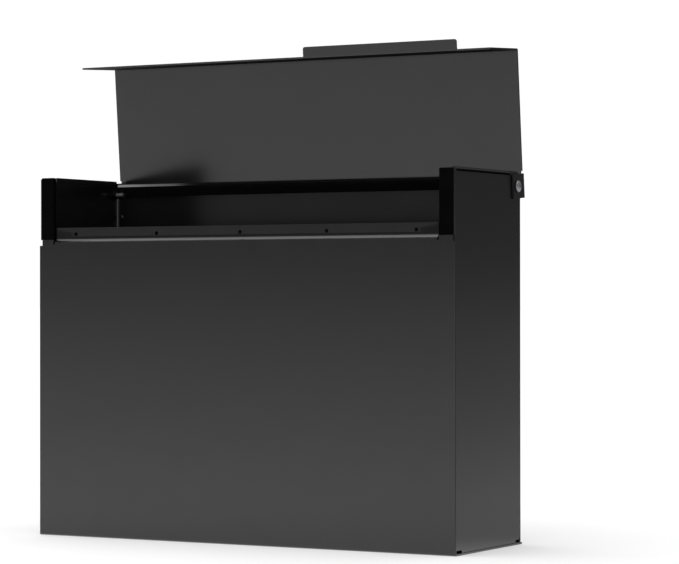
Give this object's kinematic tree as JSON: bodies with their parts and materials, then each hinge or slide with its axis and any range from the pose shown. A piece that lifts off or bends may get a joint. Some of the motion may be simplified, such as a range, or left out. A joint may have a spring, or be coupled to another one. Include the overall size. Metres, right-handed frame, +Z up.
{
  "type": "parcel drop box",
  "caption": "Wall-hung folded-steel drop box for post and small parcels, with a rear-hinged lid whose lip covers the front slot.",
  "frame": {"origin": "centre of the underside of the base plate, the face the box stands on", "axes": "+X to the right seen from the front, +Y to the wall behind the box, +Z up; the box is drawn with its lid open"},
  "size_m": [0.4086, 0.1295, 0.4137],
  "materials": {
    "coated_steel": "satin fine-texture powder coat",
    "black_rubber": "matte moulded rubber",
    "edge_trim": "satin extruded rubber",
    "seal_foam": "matte closed-cell foam",
    "black_zinc_hardware": "dark zinc plated",
    "rivets": "satin powder coat over the rivet heads",
    "nylon": "black nylon"
  },
  "bodies": {
    "box": {"body_shell": "coated_steel", "back_panel": "coated_steel", "panel_rivets": "rivets", "corner_post_left": "black_rubber", "corner_post_right": "black_rubber", "side_trim_left": "edge_trim", "side_trim_right": "edge_trim", "rear_seal": "seal_foam", "wall_spacers": "black_rubber", "lid_stop_pads": "black_rubber", "pivot_bolt_left": "black_zinc_hardware", "pivot_bolt_right": "black_zinc_hardware", "head_washer_left": "nylon", "head_washer_right": "nylon", "inner_washer_left": "black_zinc_hardware", "inner_washer_right": "black_zinc_hardware", "lock_nut_left": "black_zinc_hardware", "lock_nut_right": "black_zinc_hardware"},
    "lid": {"lid": "coated_steel", "pivot_bush_left": "nylon", "pivot_bush_right": "nylon"}
  },
  "joints": [
    {"name": "lid_hinge", "type": "hinge", "parent": "box", "child": "lid", "pos_m": [0, 0.049, 0.2947], "axis": [1, 0, 0], "range_deg": [0, 85]}
  ]
}
